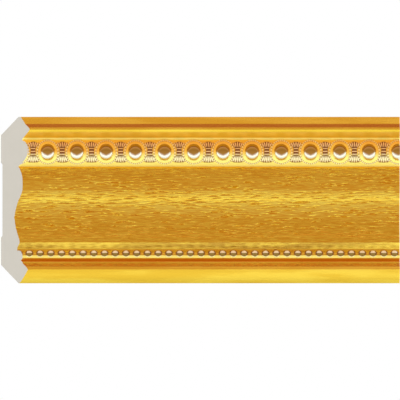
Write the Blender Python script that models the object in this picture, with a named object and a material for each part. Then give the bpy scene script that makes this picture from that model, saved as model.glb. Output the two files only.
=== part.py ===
# A short length of cornice moulding: foamed polystyrene with a gold foil face, extruded to its
# section and roll-embossed with a row of large ringed beads between bound sheaves and, lower down,
# a row of small beads.
# It is drawn on the bench, X along the length, the face to -Y and the ceiling edge up. An empty
# then turns it to sit between the wall, at +Y, and the ceiling, at +Z. Units are metres.

import math

import bmesh
import bpy
from mathutils import Matrix, Vector

MM = 0.001

# The length and how it is cut
LENGTH = 240 * MM  # along the back
BEVEL_ANGLE = math.radians(45)  # of the left end, across the thickness
SPRING_ANGLE = math.radians(45)  # between the back of the moulding and the wall

# The back: two contact faces, a flat foot beside each, and a shallow recess between the feet
CEILING_FACE = 15.4 * MM
WALL_FACE = 15.4 * MM
CEILING_TIP = 1.4 * MM  # the flat at the ceiling edge
WALL_TIP = 0.6 * MM
FOOT_WIDTH = 16.4 * MM
RECESS_DEPTH = 0.9 * MM
RECESS_SLOPE = 1.4 * MM

# The face, from the ceiling edge down: the width of each band, where its noses, crests and quirks
# are, how far out from the back they stand, and how far each stretch bows out, or dips in, between
CROWN_WIDTH = 13.8 * MM
CROWN_SHOULDER = 4.3 * MM  # each place in the crown is measured down from the ceiling edge
CROWN_SHOULDER_OUT = 15.05 * MM
CROWN_STEP = 6.4 * MM
CROWN_STEP_OUT = 17.1 * MM
CROWN_NOSE = 7.3 * MM
CROWN_NOSE_FOOT = 7.7 * MM
CROWN_NOSE_OUT = 17.75 * MM
CROWN_EDGE = 9.1 * MM
CROWN_EDGE_OUT = 16.9 * MM
CROWN_LIP = 12.6 * MM
CROWN_LIP_OUT = 13.85 * MM
CROWN_QUIRK_OUT = 13.15 * MM

BEAD_BAND_WIDTH = 16.1 * MM
ROUND_TOP = 2.3 * MM  # down from the band's top: where its round face starts, and where it stops
ROUND_TOP_OUT = 15.2 * MM
ROUND_FOOT = 12.97 * MM
ROUND_FOOT_OUT = 14.17 * MM
ROUND_BOW = 2.09 * MM
BEAD_BAND_END_OUT = 10.7 * MM

FIELD_WIDTH = 50.4 * MM
FIELD_TOP = 0.9 * MM  # down from the bead band's end, as the crest and the turn are
FIELD_TOP_OUT = 11.45 * MM
FIELD_CREST = 6.5 * MM
FIELD_CREST_OUT = 13.3 * MM
FIELD_CREST_BOW = 0.2 * MM
FIELD_BROW = 14.3 * MM
FIELD_BROW_BOW = 0.15 * MM
FIELD_TURN = 20.3 * MM
FIELD_TURN_OUT = 10.95 * MM
FIELD_TURN_BOW = 0.15 * MM
FIELD_HOLLOW = 19.4 * MM  # up from the small band's top, as the rise, the lip and its foot are
FIELD_HOLLOW_OUT = 8.4 * MM
FIELD_HOLLOW_DIP = 0.45 * MM
FIELD_RISE = 7.6 * MM
FIELD_RISE_OUT = 11.1 * MM
FIELD_RISE_DIP = 0.45 * MM
FIELD_LIP = 4.5 * MM
FIELD_LIP_OUT = 11.55 * MM
FIELD_LIP_BOW = 0.1 * MM
FIELD_FOOT = 1.7 * MM
FIELD_FOOT_OUT = 10.15 * MM
FIELD_END_OUT = 10.15 * MM

SMALL_BAND_WIDTH = 4.8 * MM
SMALL_BAND_BOW = 1.2 * MM
SMALL_BAND_END_OUT = 13.35 * MM

BASE_WIDTH = 14.9 * MM
BASE_QUIRK = 1.1 * MM  # each place in the base is measured down from the small band's end
BASE_QUIRK_OUT = 12.4 * MM
BASE_RIDGE = 2.1 * MM
BASE_RIDGE_OUT = 13.3 * MM
BASE_FILLET = 2.9 * MM
BASE_FILLET_OUT = 13.5 * MM
BASE_SLOPE = 4.7 * MM
BASE_SLOPE_OUT = 15.4 * MM
BASE_NOSE = 6.5 * MM
BASE_NOSE_OUT = 16.7 * MM
BASE_EDGE = 7.9 * MM
BASE_EDGE_OUT = 16.0 * MM
BASE_UNDERSIDE_BOW = 0.2 * MM

# The large beads and what stands round and between them
BEAD_PITCH = 17.53 * MM
BEAD_RADIUS = 5.2 * MM
BEAD_SINK = 3.0 * MM  # the bead's centre under the band's surface
FIRST_BEAD = 28.6 * MM  # from the bevel's tip
BEAD_TURN = math.radians(4.5)  # the row's direction, down from straight out
RING_HALF_WIDTH = 6.25 * MM
RING_HALF_HEIGHT = 8.1 * MM
RING_THICKNESS = 1.0 * MM
RING_RISE = 0.4 * MM

# The sheaf between two rings: a fan of leaves above its ties and a flared skirt below them
FAN_LEAVES = 5
FAN_TOP = 7.0 * MM  # above the row's line, along the band
FAN_FOOT = 2.75 * MM
FAN_WIDTH = 6.2 * MM  # across its tips
SKIRT_LEAVES = 5
SKIRT_TOP = 1.05 * MM  # below the row's line
SKIRT_FOOT = 7.1 * MM
SKIRT_WIDTH = 7.6 * MM
LEAF_RISE = 0.7 * MM
LEAF_GROOVE = 0.45 * MM  # between two leaves, down from their crests
LEAF_SCALLOP = 0.8 * MM  # how far the notch between two tips runs back
LEAF_TIP = 0.75  # of a leaf's length is flat; past that it rounds off to its tip
WAIST_WIDTH = 3.6 * MM
TIE_COUNT = 3
TIE_THICKNESS = 1.0 * MM
TIE_TOP = 0.4 * MM
TIE_RISE = 0.8 * MM

# The small beads
SMALL_PITCH = 6.45 * MM
SMALL_RADIUS = 2.0 * MM
SMALL_SINK = 0.6 * MM
FIRST_SMALL = 17.5 * MM
SMALL_TURN = math.radians(-36)

# How finely it is faceted: along the section's arcs, round the rings, and round and down the beads
ARC_FACET = 3.2 * MM
RING_FACETS = 14
BEAD_FACETS = (14, 9)
SMALL_FACETS = (8, 4)

FOIL_GOLD = (0.62, 0.33, 0.06, 1)
FOAM_GREY = (0.62, 0.59, 0.51, 1)


def down_and_out(down, out):
    """A point of the section: how far down the face it is, and how far out from the back."""
    return Vector((down, out))


def arc_of(start, end, bow):
    """The centre, radius, direction and half angle of an arc that bows out by bow at its middle."""
    chord = end - start
    half = chord.length / 2
    outwards = Vector((-chord.y, chord.x)).normalized()
    radius = (half**2 + bow**2) / (2 * abs(bow))
    centre = (start + end) / 2 + outwards * (bow - math.copysign(radius, bow))
    return centre, radius, outwards, math.asin(min(1, half / radius))


def stretch(start, end, bow=0):
    """The section's points after start, up to end, along a line or an arc that bows out by bow."""
    if not bow:
        return [end]
    centre, radius, outwards, half_angle = arc_of(start, end, bow)
    along = (end - start).normalized()
    steps = max(2, math.ceil(2 * half_angle * radius / ARC_FACET))
    points = []
    for step in range(1, steps + 1):
        angle = half_angle * (2 * step / steps - 1)
        spoke = outwards * math.cos(angle) * math.copysign(1, bow) + along * math.sin(angle)
        points.append(centre + spoke * radius)
    return points


FACE_WIDTH = CROWN_WIDTH + BEAD_BAND_WIDTH + FIELD_WIDTH + SMALL_BAND_WIDTH + BASE_WIDTH
BAND_TOP = down_and_out(CROWN_WIDTH, CROWN_QUIRK_OUT)
ROUND_START = down_and_out(CROWN_WIDTH + ROUND_TOP, ROUND_TOP_OUT)
ROUND_STOP = down_and_out(CROWN_WIDTH + ROUND_FOOT, ROUND_FOOT_OUT)
BAND_END = down_and_out(CROWN_WIDTH + BEAD_BAND_WIDTH, BEAD_BAND_END_OUT)
FIELD_END = down_and_out(BAND_END.x + FIELD_WIDTH, FIELD_END_OUT)
SMALL_END = down_and_out(FIELD_END.x + SMALL_BAND_WIDTH, SMALL_BAND_END_OUT)


def ceiling_face_back():
    """Where the ceiling face starts on the tip, and where it ends at the back."""
    tip = down_and_out(0, CEILING_FACE * math.cos(SPRING_ANGLE))
    return tip, down_and_out(CEILING_FACE * math.sin(SPRING_ANGLE), 0)


def wall_face_back():
    """Where the wall face starts at the back, and where it ends on the tip."""
    tip = down_and_out(FACE_WIDTH, WALL_FACE * math.sin(SPRING_ANGLE))
    return down_and_out(FACE_WIDTH - WALL_FACE * math.cos(SPRING_ANGLE), 0), tip


def face_line():
    """The section's points along the face, from the ceiling edge to the wall edge."""
    ceiling_tip = ceiling_face_back()[0] + down_and_out(0, CEILING_TIP)
    wall_tip = wall_face_back()[1] + down_and_out(0, WALL_TIP)
    crown = [
        (down_and_out(CROWN_SHOULDER, CROWN_SHOULDER_OUT), 0),
        (down_and_out(CROWN_STEP, CROWN_STEP_OUT), 0),
        (down_and_out(CROWN_NOSE, CROWN_NOSE_OUT), 0),
        (down_and_out(CROWN_NOSE_FOOT, CROWN_NOSE_OUT), 0),
        (down_and_out(CROWN_EDGE, CROWN_EDGE_OUT), 0),
        (down_and_out(CROWN_LIP, CROWN_LIP_OUT), 0),
        (BAND_TOP, 0),
        (ROUND_START, 0),
        (ROUND_STOP, ROUND_BOW),
        (BAND_END, 0),
    ]
    field = [
        (down_and_out(BAND_END.x + FIELD_TOP, FIELD_TOP_OUT), 0),
        (down_and_out(BAND_END.x + FIELD_CREST, FIELD_CREST_OUT), FIELD_CREST_BOW),
        (down_and_out(BAND_END.x + FIELD_BROW, FIELD_CREST_OUT), FIELD_BROW_BOW),
        (down_and_out(BAND_END.x + FIELD_TURN, FIELD_TURN_OUT), FIELD_TURN_BOW),
        (down_and_out(FIELD_END.x - FIELD_HOLLOW, FIELD_HOLLOW_OUT), -FIELD_HOLLOW_DIP),
        (down_and_out(FIELD_END.x - FIELD_RISE, FIELD_RISE_OUT), -FIELD_RISE_DIP),
        (down_and_out(FIELD_END.x - FIELD_LIP, FIELD_LIP_OUT), FIELD_LIP_BOW),
        (down_and_out(FIELD_END.x - FIELD_FOOT, FIELD_FOOT_OUT), 0),
        (FIELD_END, 0),
        (SMALL_END, SMALL_BAND_BOW),
    ]
    base = [
        (down_and_out(SMALL_END.x + BASE_QUIRK, BASE_QUIRK_OUT), 0),
        (down_and_out(SMALL_END.x + BASE_RIDGE, BASE_RIDGE_OUT), 0),
        (down_and_out(SMALL_END.x + BASE_FILLET, BASE_FILLET_OUT), 0),
        (down_and_out(SMALL_END.x + BASE_SLOPE, BASE_SLOPE_OUT), 0),
        (down_and_out(SMALL_END.x + BASE_NOSE, BASE_NOSE_OUT), 0),
        (down_and_out(SMALL_END.x + BASE_EDGE, BASE_EDGE_OUT), 0),
        (wall_tip, BASE_UNDERSIDE_BOW),
    ]
    points = [ceiling_tip]
    for end, bow in crown + field + base:
        points += stretch(points[-1], end, bow)
    return points


def back_line():
    """The section's points along the back, from the wall edge up to the ceiling edge."""
    ceiling_tip, ceiling_heel = ceiling_face_back()
    wall_heel, wall_tip = wall_face_back()
    low_foot = wall_heel.x - FOOT_WIDTH
    high_foot = ceiling_heel.x + FOOT_WIDTH
    return [
        wall_tip,
        wall_heel,
        down_and_out(low_foot, 0),
        down_and_out(low_foot - RECESS_SLOPE, RECESS_DEPTH),
        down_and_out(high_foot + RECESS_SLOPE, RECESS_DEPTH),
        down_and_out(high_foot, 0),
        ceiling_heel,
        ceiling_tip,
    ]


def clear_scene():
    for thing in list(bpy.data.objects):
        bpy.data.objects.remove(thing, do_unlink=True)


def new_collection(name):
    collection = bpy.data.collections.new(name)
    bpy.context.scene.collection.children.link(collection)
    return collection


def surface(name, colour, metallic, roughness):
    material = bpy.data.materials.new(name)
    material.use_nodes = True
    shader = material.node_tree.nodes["Principled BSDF"]
    shader.inputs["Base Color"].default_value = colour
    shader.inputs["Metallic"].default_value = metallic
    shader.inputs["Roughness"].default_value = roughness
    return material


def add(name, data, collection, bench):
    thing = bpy.data.objects.new(name, data)
    thing.parent = bench
    collection.objects.link(thing)
    return thing


def make_helper(thing):
    """Keeps what is only joined to, or cut from, the length out of the finished model."""
    thing.hide_render = True
    thing.display_type = "WIRE"
    return thing


def bench_at_wall():
    """The bench's own frame, turned so that the wall face stands at +Y with its middle at the origin."""
    wall_heel, wall_tip = wall_face_back()
    middle = (wall_heel + wall_tip) / 2
    turn = Matrix.Rotation(SPRING_ANGLE, 4, "X")
    bench = bpy.data.objects.new("bench_turned_to_the_wall", None)
    bench.matrix_world = turn @ Matrix.Translation((0, middle.y, middle.x))
    bpy.context.scene.collection.objects.link(bench)
    return bench


def blank(bench, collection, foil, foam):
    """The extruded blank, a face's width too long at each end, with foil in front and foam behind."""
    outline = face_line() + back_line()
    curve = bpy.data.curves.new("section", "CURVE")
    curve.dimensions = "2D"
    curve.fill_mode = "BOTH"
    curve.extrude = LENGTH / 2 + FACE_WIDTH
    spline = curve.splines.new("POLY")
    spline.points.add(len(outline) - 1)
    for point, place in zip(spline.points, outline):
        point.co = (-place.y, -place.x, 0, 1)
    spline.use_cyclic_u = True

    guide = bpy.data.objects.new("section", curve)
    guide.matrix_world = Matrix(((0, 0, 1, 0), (1, 0, 0, 0), (0, 1, 0, 0), (0, 0, 0, 1)))
    bpy.context.scene.collection.objects.link(guide)
    bpy.context.view_layer.update()
    graph = bpy.context.evaluated_depsgraph_get()
    mesh = bpy.data.meshes.new_from_object(guide.evaluated_get(graph))
    mesh.transform(guide.matrix_world)
    bpy.data.objects.remove(guide)

    body = bmesh.new()
    body.from_mesh(mesh)
    bmesh.ops.remove_doubles(body, verts=body.verts, dist=0.001 * MM)
    bmesh.ops.recalc_face_normals(body, faces=body.faces)
    body.to_mesh(mesh)
    body.free()
    mesh.materials.clear()
    mesh.materials.append(foil)
    mesh.materials.append(foam)
    for face in mesh.polygons:
        face.material_index = 0 if face.normal.y < -0.01 else 1
    return add("cornice_length", mesh, collection, bench)


def wrap(band, turn, along, across, rise):
    """The bench place of a point on a band: along the length, up across the band from the row's line,
    and standing out of the surface by rise. Past its arc's ends the band runs on straight."""
    centre, radius, outwards, half_angle = band
    lean = math.atan2(outwards.x, outwards.y)
    angle = turn - across / radius
    on_arc = min(max(angle, lean - half_angle), lean + half_angle)
    past = (angle - on_arc) * radius
    reach = radius + rise
    down = centre.x + reach * math.sin(on_arc) + past * math.cos(on_arc)
    out = centre.y + reach * math.cos(on_arc) - past * math.sin(on_arc)
    return Vector((along, -out, -down))


def fluted(shape, leaves, waist, tips, width):
    """Half of a sheaf, laid on the flat band: leaves that run from the waist to their rounded tips, as
    one sheet with a groove between each two. Waist and tips are places up across the band."""
    sheet = bmesh.new()
    columns = 2 * leaves
    row_shares = (0, LEAF_TIP, 1)  # the places of the grid's rows, from waist to tips
    last_row = len(row_shares) - 1
    bmesh.ops.create_grid(sheet, x_segments=columns, y_segments=last_row, size=0.5)
    for corner in sheet.verts:
        column = round((corner.co.x + 0.5) * columns)
        row = round((corner.co.y + 0.5) * last_row)
        in_groove = column % 2 == 0
        across = waist + (tips - waist) * row_shares[row]
        rise = LEAF_RISE - LEAF_GROOVE if in_groove else LEAF_RISE
        if row == last_row and in_groove:
            across -= math.copysign(LEAF_SCALLOP, tips - waist)
        if row == last_row or column in (0, columns):
            rise = -LEAF_RISE
        row_width = WAIST_WIDTH if row == 0 else width
        corner.co = (row_width * (column / columns - 0.5), across, rise)
    below = bmesh.ops.extrude_face_region(sheet, geom=sheet.faces[:], use_keep_orig=True)["geom"]
    for corner in below:
        if isinstance(corner, bmesh.types.BMVert):
            corner.co.z = -2 * LEAF_RISE
    add_to(shape, sheet)


def add_to(shape, other):
    bmesh.ops.recalc_face_normals(other, faces=other.faces)
    mesh = bpy.data.meshes.new("joined")
    other.to_mesh(mesh)
    shape.from_mesh(mesh)
    bpy.data.meshes.remove(mesh)
    other.free()


def tie(shape, across):
    """One turn of the band that binds a sheaf's waist, a bar that narrows towards its top."""
    bar = bmesh.new()
    bmesh.ops.create_cube(bar, size=1)
    for corner in bar.verts:
        top = corner.co.z > 0
        corner.co.x *= WAIST_WIDTH
        corner.co.y = across + corner.co.y * (TIE_TOP if top else TIE_THICKNESS)
        corner.co.z = TIE_RISE if top else -TIE_RISE
    add_to(shape, bar)


def sheaf_shape():
    shape = bmesh.new()
    fluted(shape, FAN_LEAVES, FAN_FOOT, FAN_TOP, FAN_WIDTH)
    fluted(shape, SKIRT_LEAVES, -SKIRT_TOP, -SKIRT_FOOT, SKIRT_WIDTH)
    waist = FAN_FOOT + SKIRT_TOP
    for turn in range(TIE_COUNT):
        tie(shape, waist * (turn + 0.5) / TIE_COUNT - SKIRT_TOP)
    return shape


def ring_shape():
    """The thin oval ring that frames a large bead: a ridge with a sunk foot on each side, carried round
    an oval."""
    shape = bmesh.new()
    section = [(-RING_THICKNESS, -RING_RISE), (0, RING_RISE), (RING_THICKNESS, -RING_RISE)]
    loops = []
    for facet in range(RING_FACETS):
        turn = 2 * math.pi * facet / RING_FACETS
        loop = []
        for reach, rise in section:
            along = (RING_HALF_WIDTH + reach) * math.cos(turn)
            across = (RING_HALF_HEIGHT + reach) * math.sin(turn)
            loop.append(shape.verts.new((along, across, rise)))
        loops.append(loop)
    for facet, loop in enumerate(loops):
        following = loops[(facet + 1) % RING_FACETS]
        for corner in range(len(section)):
            after = (corner + 1) % len(section)
            shape.faces.new((loop[corner], following[corner], following[after], loop[after]))
    return shape


def wrapped_mesh(name, shape, band, turn):
    """The flat shape as a mesh that follows the band's curve."""
    for corner in shape.verts:
        corner.co = wrap(band, turn, *corner.co)
    bmesh.ops.recalc_face_normals(shape, faces=shape.faces)
    mesh = bpy.data.meshes.new(name)
    shape.to_mesh(mesh)
    shape.free()
    return mesh


def bead_mesh(name, radius, facets, turn):
    """A round bead whose pole points out of the band."""
    shape = bmesh.new()
    pole = Matrix.Rotation(math.radians(90) + turn, 4, "X")
    bmesh.ops.create_uvsphere(
        shape, u_segments=facets[0], v_segments=facets[1], radius=radius, matrix=pole
    )
    mesh = bpy.data.meshes.new(name)
    shape.to_mesh(mesh)
    shape.free()
    return mesh


def places(first, pitch):
    """Where along the bench a row's beads stand, from just past one end to just past the other."""
    left = -LENGTH / 2
    before = math.ceil(first / pitch)
    after = math.ceil((LENGTH - first) / pitch)
    return [left + first + pitch * step for step in range(-before, after + 1)]


def lay_row(mesh, first, pitch, place, bench, collection, foil):
    """A row of helpers that share the mesh, one at each of the row's places."""
    mesh.materials.append(foil)
    for along in places(first, pitch):
        lump = make_helper(add(mesh.name, mesh, collection, bench))
        lump.location = place + Vector((along, 0, 0))


def emboss(bench, collection, foil):
    """Every bead, ring and sheaf, each as a helper that the blank is joined with."""
    large_band = arc_of(ROUND_START, ROUND_STOP, ROUND_BOW)
    bead_centre = wrap(large_band, BEAD_TURN, 0, 0, -BEAD_SINK)
    bead = bead_mesh("bead", BEAD_RADIUS, BEAD_FACETS, BEAD_TURN)
    ring = wrapped_mesh("ring", ring_shape(), large_band, BEAD_TURN)
    sheaf = wrapped_mesh("sheaf", sheaf_shape(), large_band, BEAD_TURN)
    lay_row(bead, FIRST_BEAD, BEAD_PITCH, bead_centre, bench, collection, foil)
    lay_row(ring, FIRST_BEAD, BEAD_PITCH, Vector(), bench, collection, foil)
    lay_row(sheaf, FIRST_BEAD + BEAD_PITCH / 2, BEAD_PITCH, Vector(), bench, collection, foil)

    small_band = arc_of(FIELD_END, SMALL_END, SMALL_BAND_BOW)
    small_centre = wrap(small_band, SMALL_TURN, 0, 0, -SMALL_SINK)
    small_bead = bead_mesh("small_bead", SMALL_RADIUS, SMALL_FACETS, SMALL_TURN)
    lay_row(small_bead, FIRST_SMALL, SMALL_PITCH, small_centre, bench, collection, foil)


def saw_cut(name, bench, collection, foam, edge, lean):
    """A box that takes away all of the blank beyond edge, along the direction that lean turns it to."""
    reach = 2 * (LENGTH + FACE_WIDTH)
    shape = bmesh.new()
    bmesh.ops.create_cube(shape, size=reach, matrix=Matrix.Translation((reach / 2, 0, 0)))
    mesh = bpy.data.meshes.new(name)
    shape.to_mesh(mesh)
    shape.free()
    mesh.materials.append(foam)
    cutter = make_helper(add(name, mesh, collection, bench))
    cutter.matrix_local = Matrix.Translation((edge, 0, 0)) @ Matrix.Rotation(lean, 4, "Z")
    return cutter


def main():
    clear_scene()
    model = new_collection("cornice moulding length")
    ornaments = new_collection("embossing")
    cutters = new_collection("saw cuts")
    foil = surface("gold foil", FOIL_GOLD, 1, 0.32)
    foam = surface("bare foam", FOAM_GREY, 0, 0.8)

    bench = bench_at_wall()
    length = blank(bench, model, foil, foam)
    emboss(bench, ornaments, foil)

    embossing = length.modifiers.new("embossing", "BOOLEAN")
    embossing.operation = "UNION"
    embossing.operand_type = "COLLECTION"
    embossing.collection = ornaments
    embossing.use_self = True
    square = saw_cut("square_cut", bench, cutters, foam, LENGTH / 2, 0)
    bevel = saw_cut("bevel_cut", bench, cutters, foam, -LENGTH / 2, math.pi + BEVEL_ANGLE)
    for cutter in (square, bevel):
        cut = length.modifiers.new(cutter.name, "BOOLEAN")
        cut.operation = "DIFFERENCE"
        cut.object = cutter
        cut.material_mode = "TRANSFER"


main()
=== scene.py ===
"""The looks of a short length of gold-faced cornice moulding.

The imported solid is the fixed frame. Everything is modelled on the bench, X along the length, the
face to -Y and the ceiling edge up, and then turned to the wall as the solid is. Units are metres.
"""

import math

import bmesh
import bpy
from mathutils import Matrix, Vector, noise


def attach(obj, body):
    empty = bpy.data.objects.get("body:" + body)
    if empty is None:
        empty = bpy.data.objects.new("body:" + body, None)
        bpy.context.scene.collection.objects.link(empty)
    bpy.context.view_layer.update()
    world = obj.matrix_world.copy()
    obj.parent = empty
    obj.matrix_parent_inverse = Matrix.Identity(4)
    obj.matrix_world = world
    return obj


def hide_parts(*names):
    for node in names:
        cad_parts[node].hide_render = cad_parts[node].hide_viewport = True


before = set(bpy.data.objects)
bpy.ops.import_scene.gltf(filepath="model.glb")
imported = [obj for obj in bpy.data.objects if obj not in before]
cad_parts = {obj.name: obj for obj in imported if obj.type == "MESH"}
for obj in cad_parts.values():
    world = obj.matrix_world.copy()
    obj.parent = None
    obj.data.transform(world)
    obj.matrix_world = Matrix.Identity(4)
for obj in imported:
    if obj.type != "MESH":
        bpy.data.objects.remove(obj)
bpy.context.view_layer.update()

# The moulding's body: one extrusion of foamed polystyrene, with a thin gold foil pressed on its
# face and a wood grain rolled into the foil of the wide field. It is sawn square at the right and
# to a bevel through its thickness at the left, and there and behind its warm grey foam is bare.
MM = 0.001
LENGTH = 240 * MM  # along the back
BEVEL_ANGLE = math.radians(45)
SPRING_ANGLE = math.radians(45)  # between the back and the wall

CONTACT_FACE = 15.4 * MM  # the sloping strips that meet the ceiling and the wall
CEILING_TIP = 1.4 * MM
WALL_TIP = 0.6 * MM
FOOT_WIDTH = 16.4 * MM
RECESS_DEPTH = 0.9 * MM
RECESS_SLOPE = 1.4 * MM

CROWN_WIDTH = 13.8 * MM
CROWN_SHOULDER = (4.3 * MM, 15.05 * MM)  # down from the ceiling edge, and out from the back
CROWN_STEP = (6.4 * MM, 17.1 * MM)
CROWN_NOSE = (7.3 * MM, 17.75 * MM)
CROWN_NOSE_FOOT = (7.7 * MM, 17.75 * MM)
CROWN_EDGE = (9.1 * MM, 16.9 * MM)
CROWN_LIP = (12.6 * MM, 13.85 * MM)
CROWN_QUIRK_OUT = 13.15 * MM
BEAD_BAND_WIDTH = 16.1 * MM
ROUND_START = (2.3 * MM, 15.2 * MM)  # down from the crown, and out
ROUND_STOP = (12.97 * MM, 14.17 * MM)
ROUND_BOW = 2.09 * MM
BEAD_BAND_END_OUT = 10.7 * MM
FIELD_WIDTH = 50.4 * MM
FIELD_TOP = (0.9 * MM, 11.45 * MM)  # down from the bead band, and out
FIELD_CREST = (6.5 * MM, 13.3 * MM)
FIELD_BROW = (14.3 * MM, 13.3 * MM)
FIELD_TURN = (20.3 * MM, 10.95 * MM)
FIELD_HOLLOW = (31.0 * MM, 8.4 * MM)
FIELD_RISE = (42.8 * MM, 11.1 * MM)
FIELD_LIP = (45.9 * MM, 11.55 * MM)
FIELD_FOOT = (48.7 * MM, 10.15 * MM)
FIELD_END_OUT = 10.15 * MM
SMALL_BAND_WIDTH = 4.8 * MM
SMALL_BAND_BOW = 1.2 * MM
SMALL_BAND_END_OUT = 13.35 * MM
BASE_WIDTH = 14.9 * MM
BASE_QUIRK = (1.1 * MM, 12.4 * MM)  # down from the small band, and out
BASE_RIDGE = (2.1 * MM, 13.3 * MM)
BASE_FILLET = (2.9 * MM, 13.5 * MM)
BASE_SLOPE = (4.7 * MM, 15.4 * MM)
BASE_NOSE = (6.5 * MM, 16.7 * MM)
BASE_EDGE = (7.9 * MM, 16.0 * MM)

BEAD_PITCH = 17.53 * MM
FIRST_BEAD = 28.6 * MM  # from the bevel's tip
BEAD_TURN = math.radians(4.5)  # the row of beads looks down by this much
RING_HALF_WIDTH = 6.25 * MM
RING_HALF_HEIGHT = 8.1 * MM
DISH_DEPTH = 0.45 * MM  # of the hollow that each bead stands in

BAYS = 15  # one bay for each bead, and some that the saw takes off at both ends
BAY_COLUMNS = 14  # the mesh between two beads
FIELD_ROW = 0.2 * MM  # how tall its rows are in the field, in the bands and in the plain parts
BAND_ROW = 0.4 * MM
PLAIN_ROW = 0.6 * MM

GRAIN_LENGTH = 8.5 * MM  # the room that one pore of the grain has, along and across
GRAIN_PITCH = 1.5 * MM
PORE_LENGTH = 0.52  # half the length and half the width of a pore, as shares of that room
PORE_WIDTH = 0.22
GRAIN_DEPTH = 0.44 * MM
MIDDLING_PORE = 0.6  # a pore's share of the full depth, and how far one differs from another
PORE_SPREAD = 1.3
FAINTEST_PORE = 0.15
GRAIN_WANDER = 0.9 * MM  # how far the lines of the grain stray up and down the face
WANDER_LENGTH = 14 * MM  # the size of one such bend, along and across
WANDER_WIDTH = 9 * MM
LIP_GRAIN = 0.3  # how much of the grain's depth is left on the field's lip
GRAIN_INSET = (0.8 * MM, 0.3 * MM)  # the plain strips at the top and the bottom of the field

FACE_WIDTH = CROWN_WIDTH + BEAD_BAND_WIDTH + FIELD_WIDTH + SMALL_BAND_WIDTH + BASE_WIDTH
BAND_START = CROWN_WIDTH
BAND_STOP = BAND_START + BEAD_BAND_WIDTH
FIELD_STOP = BAND_STOP + FIELD_WIDTH
SMALL_STOP = FIELD_STOP + SMALL_BAND_WIDTH
CONTACT_REACH = CONTACT_FACE * math.sin(SPRING_ANGLE)
LEFT = -LENGTH / 2
RIGHT = LENGTH / 2

bench_to_room = Matrix.Rotation(SPRING_ANGLE, 4, "X") @ Matrix.Translation(
    (0, CONTACT_REACH / 2, FACE_WIDTH - CONTACT_REACH / 2)
)


def on_section(down, out):
    """The bench place of a point of the section: down from the ceiling edge, out from the back."""
    return Vector((0, -out, -down))


def arc_of(start, end, bow):
    """The centre, radius, outward direction and half angle of an arc that bows out by bow."""
    chord = end - start
    half = chord.length / 2
    outwards = Vector((0, chord.z, -chord.y)).normalized()
    radius = (half**2 + bow**2) / (2 * abs(bow))
    centre = (start + end) / 2 + outwards * (bow - math.copysign(radius, bow))
    return centre, radius, outwards, math.asin(min(1, half / radius))


def stretch(start, end, bow, row):
    """The section's points after start, up to end, along a line or an arc, a row apart."""
    if not bow:
        steps = math.ceil((end - start).length / row)
        return [start.lerp(end, step / steps) for step in range(1, steps + 1)]
    centre, radius, outwards, half_angle = arc_of(start, end, bow)
    along = (end - start).normalized()
    steps = math.ceil(2 * half_angle * radius / row)
    points = []
    for step in range(1, steps + 1):
        angle = half_angle * (2 * step / steps - 1)
        spoke = outwards * math.cos(angle) * math.copysign(1, bow) + along * math.sin(angle)
        points.append(centre + spoke * radius)
    return points


def below(place, above):
    """The bench place of a point that is measured down from the band above it."""
    return on_section(above + place[0], place[1])


band_top = on_section(BAND_START, CROWN_QUIRK_OUT)
round_start = below(ROUND_START, BAND_START)
round_stop = below(ROUND_STOP, BAND_START)
band_end = on_section(BAND_STOP, BEAD_BAND_END_OUT)
field_end = on_section(FIELD_STOP, FIELD_END_OUT)
small_end = on_section(SMALL_STOP, SMALL_BAND_END_OUT)
ceiling_edge = on_section(0, CONTACT_REACH)
wall_edge = on_section(FACE_WIDTH, CONTACT_REACH)
face_stretches = [  # where each ends, how far it bows out, and how far apart its rows are
    (below(CROWN_SHOULDER, 0), 0, PLAIN_ROW),
    (below(CROWN_STEP, 0), 0, PLAIN_ROW),
    (below(CROWN_NOSE, 0), 0, PLAIN_ROW),
    (below(CROWN_NOSE_FOOT, 0), 0, PLAIN_ROW),
    (below(CROWN_EDGE, 0), 0, PLAIN_ROW),
    (below(CROWN_LIP, 0), 0, PLAIN_ROW),
    (band_top, 0, PLAIN_ROW),
    (round_start, 0, BAND_ROW),
    (round_stop, ROUND_BOW, BAND_ROW),
    (band_end, 0, BAND_ROW),
    (below(FIELD_TOP, BAND_STOP), 0, FIELD_ROW),
    (below(FIELD_CREST, BAND_STOP), 0.2 * MM, FIELD_ROW),
    (below(FIELD_BROW, BAND_STOP), 0.15 * MM, FIELD_ROW),
    (below(FIELD_TURN, BAND_STOP), 0.15 * MM, FIELD_ROW),
    (below(FIELD_HOLLOW, BAND_STOP), -0.45 * MM, FIELD_ROW),
    (below(FIELD_RISE, BAND_STOP), -0.45 * MM, FIELD_ROW),
    (below(FIELD_LIP, BAND_STOP), 0.1 * MM, FIELD_ROW),
    (below(FIELD_FOOT, BAND_STOP), 0, FIELD_ROW),
    (field_end, 0, FIELD_ROW),
    (small_end, SMALL_BAND_BOW, BAND_ROW),
    (below(BASE_QUIRK, SMALL_STOP), 0, BAND_ROW),
    (below(BASE_RIDGE, SMALL_STOP), 0, BAND_ROW),
    (below(BASE_FILLET, SMALL_STOP), 0, PLAIN_ROW),
    (below(BASE_SLOPE, SMALL_STOP), 0, PLAIN_ROW),
    (below(BASE_NOSE, SMALL_STOP), 0, PLAIN_ROW),
    (below(BASE_EDGE, SMALL_STOP), 0, PLAIN_ROW),
    (wall_edge - Vector((0, WALL_TIP, 0)), 0.2 * MM, PLAIN_ROW),
]
back_corners = [
    wall_edge,
    on_section(FACE_WIDTH - CONTACT_REACH, 0),
    on_section(FACE_WIDTH - CONTACT_REACH - FOOT_WIDTH, 0),
    on_section(FACE_WIDTH - CONTACT_REACH - FOOT_WIDTH - RECESS_SLOPE, RECESS_DEPTH),
    on_section(CONTACT_REACH + FOOT_WIDTH + RECESS_SLOPE, RECESS_DEPTH),
    on_section(CONTACT_REACH + FOOT_WIDTH, 0),
    on_section(CONTACT_REACH, 0),
    ceiling_edge,
]
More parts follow.
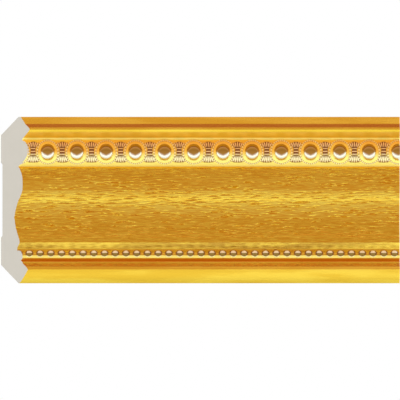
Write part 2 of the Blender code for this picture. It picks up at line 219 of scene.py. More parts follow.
section = [ceiling_edge - Vector((0, CEILING_TIP, 0))]
for stretch_end, stretch_bow, row_height in face_stretches:
    section += stretch(section[-1], stretch_end, stretch_bow, row_height)
section += back_corners + section[:1]


def edit(piece):
    """Opens the piece alone in edit mode."""
    if bpy.context.mode != "OBJECT":
        bpy.ops.object.mode_set(mode="OBJECT")
    bpy.ops.object.select_all(action="DESELECT")
    bpy.context.view_layer.objects.active = piece
    piece.select_set(True)
    bpy.ops.object.mode_set(mode="EDIT")


def select_edges(piece, wanted):
    """Selects the edges that wanted says yes to, in edit mode."""
    bpy.ops.mesh.select_mode(type="EDGE")
    bpy.ops.mesh.select_all(action="DESELECT")
    shape = bmesh.from_edit_mesh(piece.data)
    for edge in shape.edges:
        edge.select_set(wanted(edge))
    bmesh.update_edit_mesh(piece.data)


def runs_along(edge):
    """Whether an edge runs along the length, and not round the section."""
    first, second = (corner.co for corner in edge.verts)
    return abs(first.x - second.x) > MM


HAIR = 0.02 * MM  # by which ornament is sawn shorter than the body, to share no plane with it


def saw_ends(piece, inside=0):
    """Saws off what stands past the square end and the bevelled end, or a little inside them, and
    closes the cuts."""
    edit(piece)
    cuts = [
        (Vector((RIGHT - inside, 0, 0)), Vector((1, 0, 0))),
        (Vector((LEFT + inside, 0, 0)), Vector((-math.cos(BEVEL_ANGLE), -math.sin(BEVEL_ANGLE), 0))),
    ]
    for place, direction in cuts:
        bpy.ops.mesh.select_mode(type="VERT")
        bpy.ops.mesh.select_all(action="SELECT")
        bpy.ops.mesh.bisect(
            plane_co=place, plane_no=direction, use_fill=True, clear_outer=True, threshold=1e-7
        )
    bpy.ops.object.mode_set(mode="OBJECT")


def is_sawn(face):
    """Whether a face of a piece on the bench lies in one of the two saw cuts."""
    past_square = face.center.x > RIGHT - 2 * HAIR
    depth = -face.center.y * math.tan(BEVEL_ANGLE)
    past_bevel = face.center.x < LEFT + depth + 2 * HAIR
    return past_square or past_bevel


def to_room(piece):
    """Turns a finished piece from the bench to its place between wall and ceiling."""
    piece.data.transform(bench_to_room)
    piece.data.update()


def shade(piece, degrees):
    """Shades a piece smooth, but for edges that turn by more than an angle."""
    bpy.ops.object.select_all(action="DESELECT")
    bpy.context.view_layer.objects.active = piece
    piece.select_set(True)
    bpy.ops.object.shade_smooth_by_angle(angle=math.radians(degrees))


bpy.ops.object.select_all(action="DESELECT")
bpy.ops.mesh.primitive_plane_add(size=MM)
body = bpy.context.object
body.name = "cornice_body"
edit(body)
bpy.ops.mesh.merge(type="CENTER")
first_column = LEFT + FIRST_BEAD - 2 * BEAD_PITCH
bpy.ops.transform.translate(value=section[0] + Vector((first_column, 0, 0)))
for corner, following in zip(section, section[1:]):
    bpy.ops.mesh.extrude_vertices_move(TRANSFORM_OT_translate={"value": following - corner})
bpy.ops.mesh.select_all(action="SELECT")
bpy.ops.mesh.remove_doubles(threshold=0.001 * MM)
bpy.ops.mesh.extrude_edges_move(TRANSFORM_OT_translate={"value": (BAYS * BEAD_PITCH, 0, 0)})
select_edges(body, runs_along)
bpy.ops.mesh.subdivide(number_cuts=BAYS - 1)
select_edges(body, runs_along)
bpy.ops.mesh.subdivide(number_cuts=BAY_COLUMNS - 1)
bpy.ops.mesh.select_all(action="SELECT")
bpy.ops.mesh.normals_make_consistent(inside=False)
bpy.ops.object.mode_set(mode="OBJECT")

bead_band = arc_of(round_start, round_stop, ROUND_BOW)


def lean_of(band):
    """The angle, down from straight out, of the way that the middle of a band's arc faces."""
    outwards = band[2]
    return math.atan2(-outwards.z, -outwards.y)


def on_band(place, band, turn):
    """How far up across the band from the row's line a bench place is. Past its arc's ends the band
    runs on straight."""
    centre, radius, _, half_angle = band
    spoke = place - centre
    lean = lean_of(band)
    angle = math.atan2(-spoke.z, -spoke.y)
    on_arc = min(max(angle, lean - half_angle), lean + half_angle)
    past = -spoke.z * math.cos(on_arc) + spoke.y * math.sin(on_arc)
    if on_arc == angle:
        past = 0
    return (turn - on_arc) * radius - past


def dish(place):
    """How deep the hollow round the nearest bead is at a place on the bead band."""
    bay = (place.x - LEFT - FIRST_BEAD) / BEAD_PITCH
    along = (bay - round(bay)) * BEAD_PITCH
    across = on_band(place, bead_band, BEAD_TURN)
    reach = math.hypot(along / RING_HALF_WIDTH, across / RING_HALF_HEIGHT)
    return DISH_DEPTH * max(0, 1 - reach**4)


def pore(place):
    """How deep the wood grain is pressed at a place, from 0 between pores to 1 in the deepest."""
    bends = Vector((place.x / WANDER_LENGTH, place.z / WANDER_WIDTH, 3))
    drift = noise.noise(bends) * GRAIN_WANDER
    spot = Vector((place.x / GRAIN_LENGTH, (place.z + drift) / GRAIN_PITCH, 0))
    nearest = noise.voronoi(spot)[1][0]
    off = spot - nearest
    strength = min(1, MIDDLING_PORE + PORE_SPREAD * noise.noise(nearest * 7.3))
    if strength < FAINTEST_PORE:
        return 0
    reach = math.hypot(off.x / (PORE_LENGTH * strength), off.y / PORE_WIDTH)
    return strength * max(0, 1 - reach**2)


BEHIND = Vector((0, 1, 0))
FACING = 0.2  # a normal that leans less than this to the back belongs to the face
moves = []
for corner in body.data.vertices:
    place = corner.co
    down = -place.z
    move = 0
    if corner.normal.dot(BEHIND) < -FACING:
        if BAND_START < down < BAND_STOP:
            move = -dish(place)
        elif BAND_STOP + GRAIN_INSET[0] < down < FIELD_STOP - GRAIN_INSET[1]:
            move = -GRAIN_DEPTH * pore(place)
            if down > BAND_STOP + FIELD_RISE[0]:
                move *= LIP_GRAIN
    moves.append(corner.normal * move)
for corner, move in zip(body.data.vertices, moves):
    corner.co += move
saw_ends(body)


def add_node(tree, kind, inputs=None, **settings):
    """A node with its settings made, and its inputs set or linked."""
    node = tree.nodes.new(kind)
    for name, value in settings.items():
        setattr(node, name, value)
    for name, value in (inputs or {}).items():
        if isinstance(value, bpy.types.NodeSocket):
            tree.links.new(value, node.inputs[name])
        else:
            node.inputs[name].default_value = value
    return node


def blend_colours(tree, factor, low, high):
    """One colour where the factor is 0, and another where it is 1."""
    mix = add_node(tree, "ShaderNodeMix", {0: factor, 6: low, 7: high}, data_type="RGBA")
    return mix.outputs[2]


def ease(tree, value, start, stop):
    """A share that goes softly from 0 where the value is at start to 1 where it is at stop."""
    spread = add_node(
        tree,
        "ShaderNodeMapRange",
        {0: value, 1: start, 2: stop, 3: 0, 4: 1},
        interpolation_type="SMOOTHSTEP",
    )
    return spread.outputs[0]


def on_the_bench(tree):
    """The place on the moulding as it lies on the bench, in metres."""
    coordinates = add_node(tree, "ShaderNodeTexCoord").outputs["Object"]
    back = add_node(
        tree,
        "ShaderNodeMapping",
        {
            "Vector": coordinates,
            "Rotation": (-SPRING_ANGLE, 0, 0),
            "Location": (0, -CONTACT_REACH / 2, CONTACT_REACH / 2 - FACE_WIDTH),
        },
    )
    return back.outputs[0]


FINE_LINES = 1400  # of the foil's own grain, to a metre
STIPPLES = 900
PATCHES = 160
GRAIN_STRETCH = 0.12  # how fine the grain is along the length, as a share of that across
TONE_RANGE = (0.38, 0.62)  # of the noise, from the one tone to the other


def gold_foil(
    name, gold, deep_gold, roughness, grain, streak=0.2, metallic=1, lower=None, painted_dark=None
):
    """Gold foil: brushed by a fine grain along the length, and a little uneven in tone between gold
    and deep_gold. It can change to another tone lower down the face: a painted highlight for the
    light from below on the bead band, its ornament and the small rims, and a painted dark reflection
    on the small beads. It can also take a painted dark tone where the rise of raised ornament is 0:
    painted shade between the parts of the ornament, and painted dark reflections on the beads."""
    material = bpy.data.materials.new(name)
    material.use_nodes = True
    tree = material.node_tree
    shader = tree.nodes["Principled BSDF"]
    shader.inputs["Metallic"].default_value = metallic
    shader.inputs["Roughness"].default_value = roughness
    on_bench = on_the_bench(tree)
    along_grain = add_node(
        tree, "ShaderNodeMapping", {"Vector": on_bench, "Scale": (GRAIN_STRETCH, 1, 1)}
    ).outputs[0]
    fine = add_node(
        tree,
        "ShaderNodeTexNoise",
        {"Vector": along_grain, "Scale": FINE_LINES, "Detail": 3, "Roughness": 0.6},
    ).outputs[0]
    stipple = add_node(
        tree,
        "ShaderNodeTexNoise",
        {"Vector": on_bench, "Scale": STIPPLES, "Detail": 2, "Roughness": 0.7},
    ).outputs[0]
    patches = add_node(
        tree, "ShaderNodeTexNoise", {"Vector": along_grain, "Scale": PATCHES, "Detail": 2}
    ).outputs[0]
    streaks = add_node(
        tree, "ShaderNodeMix", {0: streak, 2: patches, 3: fine}, data_type="FLOAT"
    ).outputs[0]
    tone = ease(tree, streaks, *TONE_RANGE)
    colour = blend_colours(tree, tone, deep_gold, gold)
    if lower:
        lower_gold, starts, ends = lower
        height = add_node(tree, "ShaderNodeSeparateXYZ", {0: on_bench}).outputs[2]
        share = ease(tree, height, -starts, -ends)
        colour = blend_colours(tree, share, colour, lower_gold)
    if painted_dark:
        rise = add_node(tree, "ShaderNodeAttribute", attribute_name="rise").outputs["Fac"]
        colour = blend_colours(tree, rise, painted_dark, colour)
    tree.links.new(colour, shader.inputs["Base Color"])
    relief = add_node(
        tree, "ShaderNodeBump", {"Height": stipple, "Strength": grain, "Distance": 0.05 * MM}
    )
    lines = add_node(
        tree,
        "ShaderNodeBump",
        {
            "Height": fine,
            "Strength": grain,
            "Distance": 0.2 * MM,
            "Normal": relief.outputs[0],
        },
    )
    tree.links.new(lines.outputs[0], shader.inputs["Normal"])
    return material


def cut_foam():
    """Bare foamed polystyrene, at the saw cuts and behind: matt, with fine closed cells."""
    material = bpy.data.materials.new("cut foam")
    material.use_nodes = True
    tree = material.node_tree
    shader = tree.nodes["Principled BSDF"]
    shader.inputs["Roughness"].default_value = 0.85
    shader.inputs["Specular IOR Level"].default_value = 0.2
    coordinates = add_node(tree, "ShaderNodeTexCoord").outputs["Object"]
    cells = add_node(
        tree, "ShaderNodeTexVoronoi", {"Vector": coordinates, "Scale": 2200}
    ).outputs[0]
    clouds = add_node(
        tree, "ShaderNodeTexNoise", {"Vector": coordinates, "Scale": 130, "Detail": 3}
    ).outputs[0]
    colour = blend_colours(tree, clouds, (0.435, 0.412, 0.36, 1), (0.465, 0.437, 0.387, 1))
    tree.links.new(colour, shader.inputs["Base Color"])
    pits = add_node(
        tree, "ShaderNodeBump", {"Height": cells, "Strength": 0.3, "Distance": 0.1 * MM}
    )
    tree.links.new(pits.outputs[0], shader.inputs["Normal"])
    return material


PAINTED_LIGHT_PLACES = (20.0 * MM, 24.5 * MM)  # down the face, where the foil of the bead band and of its rings and sheaves turns pale: a painted highlight for the light from below
LEDGE = (83.2 * MM, 84.55 * MM)  # the lower edge of the small band, paler for a painted highlight
LIP = (BAND_STOP + FIELD_LIP[0] - 0.3 * MM, BAND_STOP + FIELD_FOOT[0] + 0.7 * MM)
SHADED_PLACES = (  # down the face, the steps and quirks, with a deeper tone for painted shade and painted dark reflections in them
    (CROWN_SHOULDER[0], CROWN_STEP[0]),
    (BAND_STOP, BAND_STOP + FIELD_TOP[0]),
    (SMALL_STOP, SMALL_STOP + BASE_RIDGE[0]),
    (SMALL_STOP + BASE_FILLET[0], SMALL_STOP + BASE_SLOPE[0]),
)

plain_gold = gold_foil(
    "plain gold foil",
    gold=(0.97, 0.7, 0.07, 1),
    deep_gold=(0.87, 0.57, 0.04, 1),
    roughness=0.25,
    grain=0.15,
    metallic=0.86,
)
field_gold = gold_foil(
    "grained gold foil",
    gold=(1.0, 0.79, 0.1, 1),
    deep_gold=(0.9, 0.57, 0.05, 1),
    roughness=0.24,
    grain=0.5,
    streak=0.8,
)
lip_gold = gold_foil(
    "field lip foil",
    gold=(1.0, 0.76, 0.08, 1),
    deep_gold=(0.6, 0.36, 0.03, 1),
    roughness=0.24,
    grain=1.0,
    streak=0.5,
    metallic=0.45,
)
# The bead band's foil: a deeper orange above, and pale lower down, where the pale tone is a painted
# highlight for the light from below.
band_gold = gold_foil(
    "bead band foil",
    gold=(1.0, 0.56, 0.05, 1),
    deep_gold=(0.96, 0.47, 0.04, 1),
    roughness=0.24,
    grain=0.3,
    metallic=0.3,
    lower=((1.0, 0.88, 0.21, 1), *PAINTED_LIGHT_PLACES),
)
# Paler foil on the crown's lip and on the small band's lower edge: a painted highlight for the
# bright lines that the light from below makes there.
highlight_edge_gold = gold_foil(
    "edge foil with painted highlight",
    gold=(0.97, 0.84, 0.2, 1),
    deep_gold=(0.95, 0.78, 0.16, 1),
    roughness=0.24,
    grain=0.2,
    metallic=0.3,
)
# A deeper tone in the steps and quirks: painted shade and painted dark reflections.
quirk_shade_gold = gold_foil(
    "foil with painted shade in the quirks",
    gold=(0.93, 0.53, 0.07, 1),
    deep_gold=(0.88, 0.46, 0.06, 1),
    roughness=0.25,
    grain=0.15,
)
# A deeper, more orange tone under the crown's nose: painted shade.
under_shade_gold = gold_foil(
    "underside foil with painted shade",
    gold=(0.78, 0.42, 0.02, 1),
    deep_gold=(0.72, 0.38, 0.02, 1),
    roughness=0.24,
    grain=0.15,
    metallic=0.3,
)
foam = cut_foam()


def finish_at(face):
    """The foil of a face of the body, by how far down it is, or the bare foam."""
    down = -face.center.z
    if is_sawn(face) or face.normal.dot(BEHIND) > FACING:
        return foam
    if any(start < down < stop for start, stop in SHADED_PLACES):
        return quirk_shade_gold
    if LIP[0] < down < LIP[1]:
        return lip_gold
    if BAND_STOP < down < FIELD_STOP:
        return field_gold
    if BAND_START < down < BAND_STOP:
        return band_gold
    if CROWN_EDGE[0] < down < CROWN_LIP[0]:
        return under_shade_gold
    if CROWN_LIP[0] < down < BAND_START or LEDGE[0] < down < LEDGE[1]:
        return highlight_edge_gold
    return plain_gold


finishes = (
    plain_gold,
    field_gold,
    foam,
    band_gold,
    highlight_edge_gold,
    quirk_shade_gold,
    under_shade_gold,
    lip_gold,
)
for material in finishes:
    body.data.materials.append(material)
for face in body.data.polygons:
    face.material_index = finishes.index(finish_at(face))
shade(body, 30)
to_room(body)
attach(body, "root")
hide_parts("cornice_length")

# The large beads: smooth round knobs with a mirror finish, pressed up out of the bead band by the
# embossing roller, one in the middle of each dish. The last one is sawn through its middle. The
# deeper tone of the upper part stands for the dark heart that the real beads mirror.
BEAD_RADIUS = 5.2 * MM
BEAD_SINK = 3.0 * MM  # its centre under the band's surface
BEAD_ROOT = 1.9 * MM  # how far it goes on under that surface
DARK_FOOT = 1.2 * MM  # how far below the bead's middle the deeper tone of its upper part reaches
DARK_FADE = 0.8 * MM
DARK_SLOPE = 0.6  # how steeply the lower edge of that tone climbs to both sides


def wrap(band, turn, along, across, rise):
    """The bench place of a point on a band: along, up across from the row, and standing out. Past
    its arc's ends the band runs on straight."""
    centre, radius, _, half_angle = band
    lean = lean_of(band)
    angle = turn - across / radius
    on_arc = min(max(angle, lean - half_angle), lean + half_angle)
    past = (angle - on_arc) * radius
    outwards = Vector((0, -math.cos(on_arc), -math.sin(on_arc)))
    onwards = Vector((0, math.sin(on_arc), -math.cos(on_arc)))
    return centre + Vector((along, 0, 0)) + outwards * (radius + rise) + onwards * past


def lay_row(piece, first, pitch):
    """Copies a modelled piece to each place of its row, joins the copies and saws off the ends."""
    before = math.ceil(first / pitch)
    after = math.ceil((LENGTH - first) / pitch)
    copies = []
    for step in range(-before, after + 1):
        place = LEFT + first + pitch * step
        copy = piece.copy()
        copy.data = piece.data.copy()
        copy.data.transform(Matrix.Translation((place, 0, 0)))
        bpy.context.scene.collection.objects.link(copy)
        copies.append(copy)
    name = piece.name
    bpy.data.objects.remove(piece)
    bpy.ops.object.select_all(action="DESELECT")
    for copy in copies:
        copy.select_set(True)
    row = copies[0]
    bpy.context.view_layer.objects.active = row
    bpy.ops.object.join()
    row.name = name
    saw_ends(row, HAIR)
    return row


def finish_row(row, gold, degrees):
    """Gives a laid row its foil, and bare foam on its sawn faces, and sets it in the room."""
    row.data.materials.clear()
    row.data.materials.append(gold)
    row.data.materials.append(foam)
    for face in row.data.polygons:
        face.material_index = 1 if is_sawn(face) else 0
    shade(row, degrees)
    to_room(row)
    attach(row, "root")


def mark_painted_dark(piece, level_at):
    """Notes for every corner how much it has of the brighter foil, from 0, for the painted dark tone
    of shade and of mirrored dark, to 1."""
    rises = piece.data.attributes.new("rise", "FLOAT", "POINT")
    for corner, mark in zip(piece.data.vertices, rises.data):
        mark.value = min(1, max(0, level_at(corner.co)))


bpy.ops.object.select_all(action="DESELECT")
bpy.ops.mesh.primitive_uv_sphere_add(segments=48, ring_count=32, radius=BEAD_RADIUS)
bead = bpy.context.object
bead.name = "large_beads"
edit(bead)
bpy.ops.mesh.select_all(action="SELECT")
bpy.ops.mesh.bisect(
    plane_co=(0, 0, BEAD_SINK - BEAD_ROOT), plane_no=(0, 0, -1), use_fill=True, clear_outer=True
)
bpy.ops.object.mode_set(mode="OBJECT")
mark_painted_dark(bead, lambda place: (DARK_SLOPE * abs(place.x) - place.y - DARK_FOOT) / DARK_FADE)
bead_centre = wrap(bead_band, BEAD_TURN, 0, 0, -BEAD_SINK)
bead.data.transform(
    Matrix.Translation(bead_centre) @ Matrix.Rotation(math.radians(90) + BEAD_TURN, 4, "X")
)
mirror_gold = gold_foil(
    "mirror gold foil",
    gold=(1.0, 1.0, 0.82, 1),
    deep_gold=(1.0, 0.97, 0.74, 1),
    roughness=0.07,
    grain=0.0,
    painted_dark=(0.58, 0.42, 0.11, 1),
)
finish_row(lay_row(bead, FIRST_BEAD, BEAD_PITCH), mirror_gold, 40)

# The pearled rings: a thin line of fine pearls in the same foil, pressed up round each dish as an
# upright oval, with a painted shade between the pearls.
RING_HALF_THICKNESS = 0.5 * MM
PEARLS = 30
PEARL_SWELL = 0.35  # by which the line is thicker at a pearl, and thinner at a gap
TUBE_RADIUS = 0.1  # of the plain torus of radius 1 that a ring is shaped from


def pearl_at(place):
    """1 at the middle of a pearl, and -1 in the gap between two."""
    return math.cos(PEARLS * math.atan2(place.y, place.x))


bpy.ops.object.select_all(action="DESELECT")
bpy.ops.mesh.primitive_torus_add(
    major_segments=6 * PEARLS, minor_segments=8, major_radius=1, minor_radius=TUBE_RADIUS
)
ring = bpy.context.object
ring.name = "bead_rings"
mark_painted_dark(ring, lambda place: 0.9 + pearl_at(place))
for corner in ring.data.vertices:
    turn = math.atan2(corner.co.y, corner.co.x)
    reach = math.hypot(corner.co.x, corner.co.y) - 1
    swell = RING_HALF_THICKNESS * (1 + PEARL_SWELL * pearl_at(corner.co)) / TUBE_RADIUS
    corner.co = wrap(
        bead_band,
        BEAD_TURN,
        (RING_HALF_WIDTH + reach * swell) * math.cos(turn),
        (RING_HALF_HEIGHT + reach * swell) * math.sin(turn),
        corner.co.z * swell,
    )
# Paler lower down, a painted highlight for the light from below, and dark between the pearls, a
# painted shade.
ring_gold = gold_foil(
    "ring foil",
    gold=(1.0, 0.66, 0.22, 1),
    deep_gold=(0.97, 0.56, 0.14, 1),
    roughness=0.2,
    grain=0.1,
    metallic=0.3,
    lower=((1.0, 0.93, 0.45, 1), *PAINTED_LIGHT_PLACES),
    painted_dark=(0.5, 0.25, 0.04, 1),
)
finish_row(lay_row(ring, FIRST_BEAD, BEAD_PITCH), ring_gold, 60)

# The sheaves between the rings: a fan of five leaves, three turns of binding, and a flared skirt
# of five leaves, all pressed up out of the band, with a painted shade deep between them and on the
# low parts of the leaves.
FAN_FOOT = 2.6 * MM  # up across the band from the row's line
FAN_TOP = 7.3 * MM
FAN_TIPS = (-3.2, -1.65, 0, 1.65, 3.2)  # in mm along the band
FAN_DROP = 0.22  # by which the outer tips are lower, for their distance from the middle
FAN_GATHER = 0.45  # how far apart the leaves' feet are, as a share of their tips
FAN_LEAF = 1.2 * MM
FAN_GROUND = 5.8 * MM
SKIRT_TOP = -1.3 * MM
SKIRT_FOOT = -7.3 * MM
SKIRT_TIPS = (-3.2, -1.6, 0, 1.6, 3.2)
SKIRT_DROP = 0.25
SKIRT_GATHER = 0.4
SKIRT_LEAF = 1.55 * MM
SKIRT_GROUND = (SKIRT_FOOT + 1.0 * MM, 1.5 * MM, 6.4 * MM)  # across, thickness and width
TIES = ((2.3, 0.7), (0.7, 0.8), (-0.9, 0.8))  # across and thickness, in mm
TIE_WIDTH = 3.6 * MM
TIE_GROUND = (0.5 * MM, 4.4 * MM, 3.3 * MM)
LEAF_FOOT = 0.6  # shares of a leaf's width: what its foot has, and what its tip has more
LEAF_FLARE = 0.55
LEAF_RISE = 0.85 * MM
GROUND_RISE = 0.15 * MM
SHADE_RISE = 0.35 * MM  # under which a leaf has the painted shade that lies between the leaves
SHADE_FADE = 0.3 * MM


def out_of_painted_shade(place):
    """How far a place of the sheaf, as laid flat, stands out of the painted shade between the
    leaves.
    """
    return (place.z - SHADE_RISE) / SHADE_FADE


def add_leaf(foot, tip, width, rise):
    """A rounded leaf from its narrow foot to its broad tip, laid flat as a closed shell."""
    bpy.ops.mesh.primitive_uv_sphere_add(segments=16, ring_count=10, radius=0.5)
    leaf = bpy.context.object
    run = tip - foot
    angle = math.atan2(run.x, run.y)
    for corner in leaf.data.vertices:
        share = corner.co.y + 0.5
        side = corner.co.x * (LEAF_FOOT + LEAF_FLARE * share) * width
        along = share * run.length
        corner.co = Vector(
            (
                foot.x + side * math.cos(angle) + along * math.sin(angle),
                foot.y - side * math.sin(angle) + along * math.cos(angle),
                corner.co.z * 2 * rise,
            )
        )
    mark_painted_dark(leaf, out_of_painted_shade)
    return leaf


def add_tie(across, thickness, width, rise):
    """One turn of binding, or the ground under some, as a bar with rounded ends."""
    bpy.ops.mesh.primitive_uv_sphere_add(segments=16, ring_count=10, radius=0.5)
    bar = bpy.context.object
    for corner in bar.data.vertices:
        side = math.copysign(abs(corner.co.x * 2) ** 0.5, corner.co.x) * width / 2
        corner.co = Vector((side, across + corner.co.y * thickness, corner.co.z * 2 * rise))
    mark_painted_dark(bar, out_of_painted_shade)
    return bar


bpy.ops.object.select_all(action="DESELECT")
parts = [  # the ground under the fan, the binding and the skirt, a low sheet all in painted shade, and then what stands on it
    add_leaf(Vector((0, FAN_FOOT - 1 * MM)), Vector((0, FAN_TOP)), FAN_GROUND, GROUND_RISE),
    add_tie(*TIE_GROUND, GROUND_RISE),
    add_tie(*SKIRT_GROUND, GROUND_RISE),
]
for tip in FAN_TIPS:
    foot = Vector((tip * FAN_GATHER * MM, FAN_FOOT))
    end = Vector((tip * MM, FAN_TOP - FAN_DROP * abs(tip) * MM))
    parts.append(add_leaf(foot, end, FAN_LEAF, LEAF_RISE))
for tip in SKIRT_TIPS:
    foot = Vector((tip * SKIRT_GATHER * MM, SKIRT_TOP))
    end = Vector((tip * MM, SKIRT_FOOT + SKIRT_DROP * abs(tip) * MM))
    parts.append(add_leaf(foot, end, SKIRT_LEAF, LEAF_RISE))
for across, thickness in TIES:
    parts.append(add_tie(across * MM, thickness * MM, TIE_WIDTH, LEAF_RISE))
bpy.ops.object.select_all(action="DESELECT")
for part in parts:
    part.select_set(True)
sheaf = parts[0]
bpy.context.view_layer.objects.active = sheaf
bpy.ops.object.join()
sheaf.name = "sheaves"
for corner in sheaf.data.vertices:
    corner.co = wrap(bead_band, BEAD_TURN, *corner.co)
edit(sheaf)
bpy.ops.mesh.select_all(action="SELECT")
bpy.ops.mesh.normals_make_consistent(inside=False)
bpy.ops.object.mode_set(mode="OBJECT")
# Paler lower down, a painted highlight for the light from below, and dark low between the leaves, a
# painted shade.
sheaf_gold = gold_foil(
    "sheaf foil",
    gold=(1.0, 0.62, 0.25, 1),
    deep_gold=(0.95, 0.5, 0.15, 1),
    roughness=0.2,
    grain=0.1,
    metallic=0.4,
    lower=((1.0, 0.9, 0.5, 1), *PAINTED_LIGHT_PLACES),
    painted_dark=(0.28, 0.1, 0.02, 1),
)
finish_row(lay_row(sheaf, FIRST_BEAD + BEAD_PITCH / 2, BEAD_PITCH), sheaf_gold, 60)

# The small beads: a row of little round knobs in the same glossy foil, rolled up out of the narrow
# band under the field, so close that they nearly touch. Their deeper edges and their deeper lower
# side are painted dark reflections, of the dark that the real ones mirror.
SMALL_PITCH = 6.45 * MM
FIRST_SMALL = 17.5 * MM  # from the bevel's tip
SMALL_RADIUS = 2.0 * MM
SMALL_SINK = 0.6 * MM  # its centre under the small band's surface
SMALL_ROOT = 0.5 * MM  # how far it goes on behind its centre
SMALL_TURN = math.radians(-36)  # where round the small band the row's line runs
SMALL_DARK_RISE = 0.75 * MM  # in front of its centre, up to where its edge is dark
SMALL_DARK_FADE = 0.45 * MM
SMALL_LOWER = (81.3 * MM, 82.1 * MM)  # down the face, where the small beads' lower side deepens, a painted dark reflection

small_band = arc_of(field_end, small_end, SMALL_BAND_BOW)
bpy.ops.object.select_all(action="DESELECT")
bpy.ops.mesh.primitive_uv_sphere_add(segments=24, ring_count=16, radius=SMALL_RADIUS)
small_bead = bpy.context.object
small_bead.name = "small_beads"
edit(small_bead)
bpy.ops.mesh.select_all(action="SELECT")
bpy.ops.mesh.bisect(
    plane_co=(0, 0, -SMALL_ROOT), plane_no=(0, 0, -1), use_fill=True, clear_outer=True
)
bpy.ops.object.mode_set(mode="OBJECT")
mark_painted_dark(small_bead, lambda place: (place.z - SMALL_DARK_RISE) / SMALL_DARK_FADE)
small_centre = wrap(small_band, SMALL_TURN, 0, 0, -SMALL_SINK)
small_bead.data.transform(
    Matrix.Translation(small_centre) @ Matrix.Rotation(math.radians(90) + SMALL_TURN / 2, 4, "X")
)
small_gold = gold_foil(
    "small bead foil",
    gold=(1.0, 0.86, 0.6, 1),
    deep_gold=(1.0, 0.8, 0.5, 1),
    roughness=0.12,
    grain=0.0,
    metallic=0.4,
    lower=((0.3, 0.19, 0.03, 1), *SMALL_LOWER),
    painted_dark=(0.3, 0.12, 0.015, 1),
)
finish_row(lay_row(small_bead, FIRST_SMALL, SMALL_PITCH), small_gold, 50)

# The small rims: a thin line in the same foil, rolled round each small bead. Its upper part has a
# deeper tone, which stands for the shade under the field's lip, and its lower part a pale tone, a
# painted highlight for the light from below.
RIM_HALF_WIDTH = 2.2 * MM
RIM_HALF_HEIGHT = 2.35 * MM
RIM_HALF_THICKNESS = 0.3 * MM
RIM_LOWER = (82.9 * MM, 83.6 * MM)  # down the face, where the rims turn from the painted shade to the pale painted highlight

bpy.ops.object.select_all(action="DESELECT")
bpy.ops.mesh.primitive_torus_add(
    major_segments=32, minor_segments=8, major_radius=1, minor_radius=TUBE_RADIUS
)
rim = bpy.context.object
rim.name = "small_rims"
for corner in rim.data.vertices:
    turn = math.atan2(corner.co.y, corner.co.x)
    reach = (math.hypot(corner.co.x, corner.co.y) - 1) * RIM_HALF_THICKNESS / TUBE_RADIUS
    corner.co = wrap(
        small_band,
        SMALL_TURN,
        (RIM_HALF_WIDTH + reach) * math.cos(turn),
        (RIM_HALF_HEIGHT + reach) * math.sin(turn),
        corner.co.z * RIM_HALF_THICKNESS / TUBE_RADIUS,
    )
rim_gold = gold_foil(
    "small rim foil",
    gold=(0.45, 0.18, 0.03, 1),
    deep_gold=(0.4, 0.15, 0.02, 1),
    roughness=0.2,
    grain=0.0,
    metallic=0.3,
    lower=((1.0, 0.93, 0.45, 1), *RIM_LOWER),
)
finish_row(lay_row(rim, FIRST_SMALL, SMALL_PITCH), rim_gold, 60)

# The studio: a pale floor far below, as under a ceiling, and a surround that the camera sees as
# white. What the foil mirrors of it is brightest below and at both sides, and brown round the
# camera.
FLOOR_DEPTH = 2.7
FROM_BELOW = (0.85, 0.85, 0.86, 1)  # the colour of the light from below and at both sides
SIDE_POWER = 3  # how soon that light climbs towards the ends of the length, and how high
SIDE_SHARE = 0.92
UNDER_RANGE = (0.74, 0.88)  # its soft edge

bpy.ops.object.select_all(action="DESELECT")
bpy.ops.mesh.primitive_plane_add(size=30, location=(0, 0, -FLOOR_DEPTH))
floor = bpy.context.object
floor.name = "floor"
floor_paint = bpy.data.materials.new("pale floor")
floor_paint.use_nodes = True
floor_shader = floor_paint.node_tree.nodes["Principled BSDF"]
floor_shader.inputs["Base Color"].default_value = (0.85, 0.84, 0.82, 1)
floor_shader.inputs["Roughness"].default_value = 0.9
floor.data.materials.append(floor_paint)
floor.visible_glossy = False
floor.visible_diffuse = False

studio = bpy.data.worlds.new("studio")
bpy.context.scene.world = studio
studio.use_nodes = True
tree = studio.node_tree
tree.nodes.clear()
direction = add_node(tree, "ShaderNodeTexCoord").outputs["Generated"]


def part_along(axis):
    """How much of the direction that is looked in runs along an axis."""
    return add_node(
        tree, "ShaderNodeVectorMath", {0: direction, 1: axis}, operation="DOT_PRODUCT"
    ).outputs["Value"]


def calculate(operation, first, second=0):
    """One step of arithmetic on one or two values."""
    return add_node(
        tree, "ShaderNodeMath", {0: first, 1: second}, operation=operation
    ).outputs[0]


upwards = part_along(bench_to_room.to_3x3() @ Vector((0, 0, 1)))
towards = part_along(bench_to_room.to_3x3() @ Vector((0, -1, 0)))
sideways = calculate("ABSOLUTE", part_along((1, 0, 0)))
turn_up = calculate("ARCTAN2", upwards, towards)
round_share = add_node(
    tree, "ShaderNodeMapRange", {0: turn_up, 1: -math.pi, 2: math.pi, 3: 0, 4: 1}
).outputs[0]
surround = add_node(tree, "ShaderNodeValToRGB", {0: round_share})
stops = [  # degrees up from the direction that the face looks to
    (-180, (0.5, 0.3, 0.2, 1)),
    (-130, FROM_BELOW),
    (-72, FROM_BELOW),
    (-65, (1.25, 1.22, 1.2, 1)),
    (-52, (1.25, 1.22, 1.2, 1)),
    (-46, (0.74, 0.62, 0.68, 1)),
    (-28, (0.72, 0.56, 0.6, 1)),
    (-17, (0.66, 0.43, 0.33, 1)),
    (0, (0.65, 0.42, 0.3, 1)),
    (25, (0.56, 0.34, 0.2, 1)),
    (45, (0.6, 0.37, 0.24, 1)),
    (60, (0.82, 0.52, 0.48, 1)),
    (75, (0.8, 0.5, 0.48, 1)),
    (82, (0.42, 0.16, 0.13, 1)),
    (100, (0.42, 0.16, 0.13, 1)),
    (106, (1, 1, 1, 1)),
    (160, (1, 1, 1, 1)),
    (180, (0.5, 0.3, 0.2, 1)),
]
BRIGHTEST = 1.25  # what the ramp's full scale stands for
ramp = surround.color_ramp
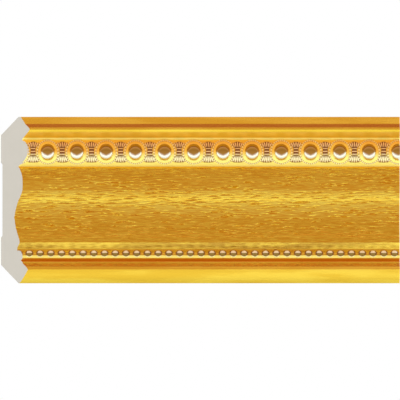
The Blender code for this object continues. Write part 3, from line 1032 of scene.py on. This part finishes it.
for degrees, colour in stops[1:-1]:
    ramp.elements.new((degrees + 180) / 360)
for element, (degrees, colour) in zip(ramp.elements, stops):
    element.position = (degrees + 180) / 360
    element.color = [part / BRIGHTEST for part in colour]
round_light = add_node(
    tree, "ShaderNodeVectorMath", {0: surround.outputs[0], "Scale": BRIGHTEST}, operation="SCALE"
).outputs[0]
climb = calculate("MULTIPLY", calculate("POWER", sideways, SIDE_POWER), SIDE_SHARE)
under = ease(tree, calculate("SUBTRACT", climb, upwards), *UNDER_RANGE)
reflected = add_node(
    tree,
    "ShaderNodeMix",
    {0: under, 6: round_light, 7: FROM_BELOW},
    data_type="RGBA",
    blend_type="LIGHTEN",
).outputs[2]
ray = add_node(tree, "ShaderNodeLightPath")
downwards = ease(tree, upwards, 0.5, -0.5)
soft_light = blend_colours(tree, downwards, (1.3, 1.3, 1.3, 1), (2.0, 2.0, 2.0, 1))
lit = blend_colours(tree, ray.outputs["Is Glossy Ray"], soft_light, reflected)
seen = blend_colours(tree, ray.outputs["Is Camera Ray"], lit, (1, 1, 1, 1))
background = add_node(tree, "ShaderNodeBackground", {"Color": seen, "Strength": 1})
add_node(tree, "ShaderNodeOutputWorld", {"Surface": background.outputs[0]})

# The camera: far off behind a long lens and square to the face, as the photograph was taken.
CAMERA_DISTANCE = 3.34
AIM_OUT = 10 * MM  # of the point that it looks at, out from the back and down the face
AIM_DOWN = 49.96 * MM

camera_data = bpy.data.cameras.new("camera")
camera_data.lens = 500
camera_data.sensor_width = 36
camera_data.clip_end = 100
camera = bpy.data.objects.new("camera", camera_data)
bpy.context.scene.collection.objects.link(camera)
aim = bench_to_room @ on_section(AIM_DOWN, AIM_OUT)
outwards = bench_to_room.to_3x3() @ Vector((0, -1, 0))
camera.matrix_world = Matrix.Translation(aim + outwards * CAMERA_DISTANCE) @ Matrix.Rotation(
    math.radians(90) + SPRING_ANGLE, 4, "X"
)
bpy.context.scene.camera = camera
bpy.context.scene.view_settings.view_transform = "Standard"
